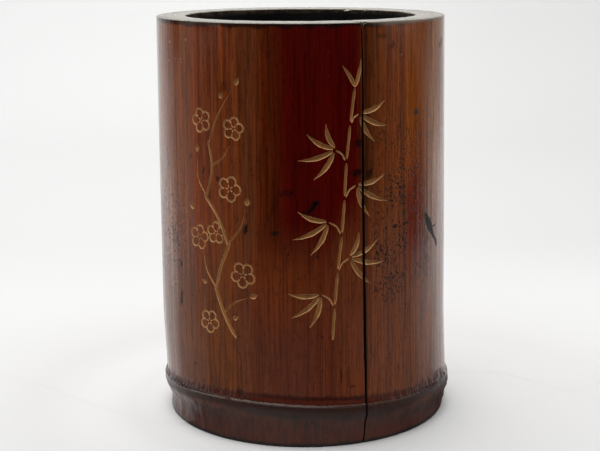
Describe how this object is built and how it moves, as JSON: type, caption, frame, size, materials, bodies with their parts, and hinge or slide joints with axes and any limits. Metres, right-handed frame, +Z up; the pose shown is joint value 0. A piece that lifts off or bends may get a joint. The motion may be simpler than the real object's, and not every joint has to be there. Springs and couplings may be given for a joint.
{
  "type": "brush pot",
  "caption": "Brush pot cut from a thick-walled bamboo culm: node ring at the foot, the culm's own septum as floor, a wooden board pinned under it, and a drying crack from rim to foot",
  "frame": {"origin": "the centre of the foot, on the table", "axes": "+Z up along the culm; -Y is the carved front that the picture shows; +X is the right of that view"},
  "size_m": [0.1156, 0.1156, 0.1565],
  "materials": {
    "bamboo_skin": "old polished bamboo skin, dark red-brown",
    "septum_wood": "dark ink-stained inside of a culm, matt",
    "board_wood": "dark close-grained hardwood, waxed",
    "bamboo_pin": "plain whittled bamboo"
  },
  "bodies": {
    "root": {"culm_wall": "bamboo_skin", "node_septum": "septum_wood", "base_board": "board_wood", "base_pin_1": "bamboo_pin", "base_pin_2": "bamboo_pin", "base_pin_3": "bamboo_pin"}
  },
  "joints": []
}
